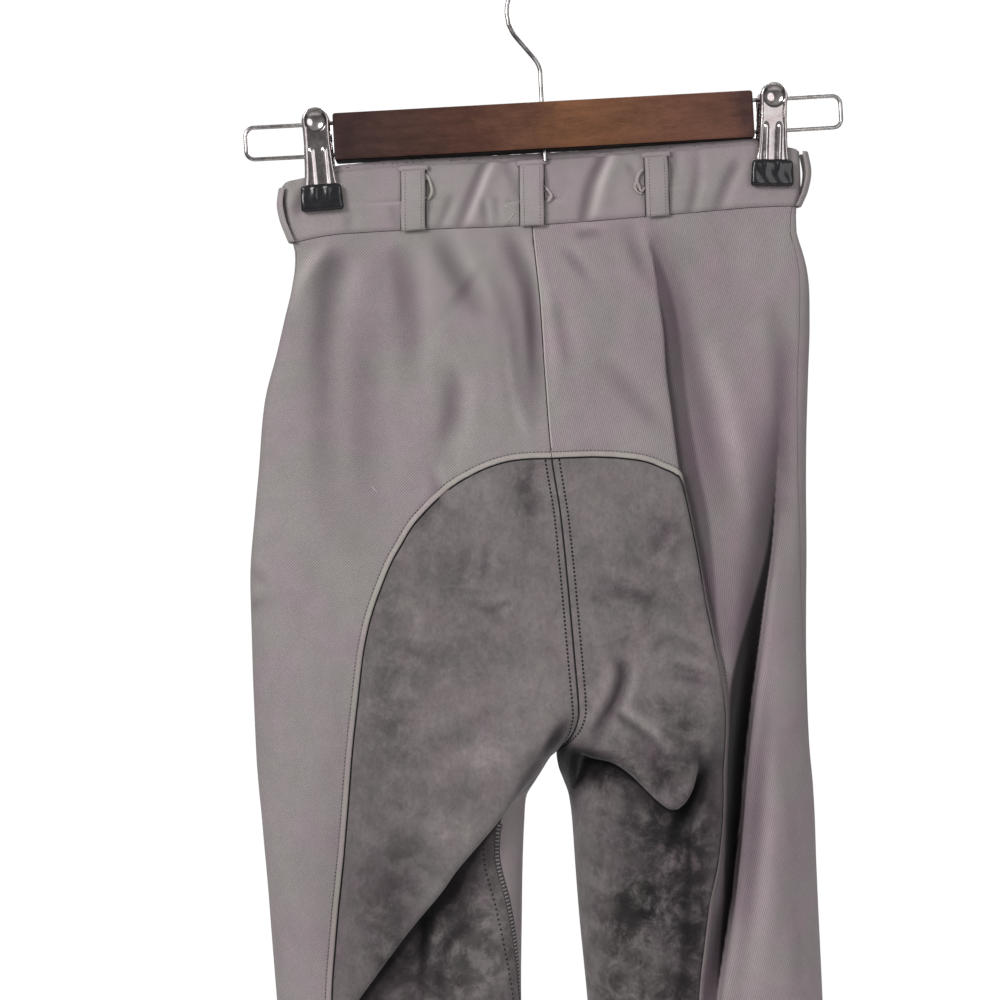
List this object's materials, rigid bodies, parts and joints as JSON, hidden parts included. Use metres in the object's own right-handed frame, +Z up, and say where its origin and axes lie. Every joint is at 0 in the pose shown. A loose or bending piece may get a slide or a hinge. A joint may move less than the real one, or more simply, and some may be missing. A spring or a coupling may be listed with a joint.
{
  "type": "riding breeches on a clip hanger",
  "caption": "Cotton twill riding breeches with a full suede seat, hung flat by the waistband from a wooden clip hanger.",
  "frame": {"origin": "inside top of the hanger's hook, where it hangs on a rail, with X = 0 on the hook's stem", "axes": "+Z up along the stem, the breeches' back faces -Y and their front +Y, +X is on the right as the back is seen"},
  "size_m": [0.3692, 0.0556, 1.0597],
  "materials": {
    "twill": "grey-mauve cotton twill, matt",
    "suede": "dark grey suede-like fabric, napped",
    "piping": "lighter grey twill binding",
    "button": "satin",
    "wood": "dark walnut, satin varnish",
    "chrome": "polished plate",
    "black_vinyl": "dipped, glossy"
  },
  "bodies": {
    "root": {"back_panel_left": "twill", "back_panel_right": "twill", "front_panel_left": "twill", "front_panel_right": "twill", "waistband_left": "twill", "waistband_right": "twill", "fly_placket": "twill", "belt_loop_back_left": "twill", "belt_loop_back_centre": "twill", "belt_loop_back_right": "twill", "belt_loop_side_left": "twill", "belt_loop_side_right": "twill", "belt_loop_front_left": "twill", "belt_loop_front_right": "twill", "seat_patch_left": "suede", "seat_patch_right": "suede", "piping_left": "piping", "piping_right": "piping", "waist_button": "button", "hanger_bar": "wood", "hanger_hook": "chrome", "end_loop_left": "chrome", "end_loop_right": "chrome", "clip_left_back": "chrome", "clip_left_front": "chrome", "clip_left_spring": "chrome", "clip_right_back": "chrome", "clip_right_front": "chrome", "clip_right_spring": "chrome", "cap_left_back": "black_vinyl", "cap_left_front": "black_vinyl", "cap_right_back": "black_vinyl", "cap_right_front": "black_vinyl"}
  },
  "joints": []
}
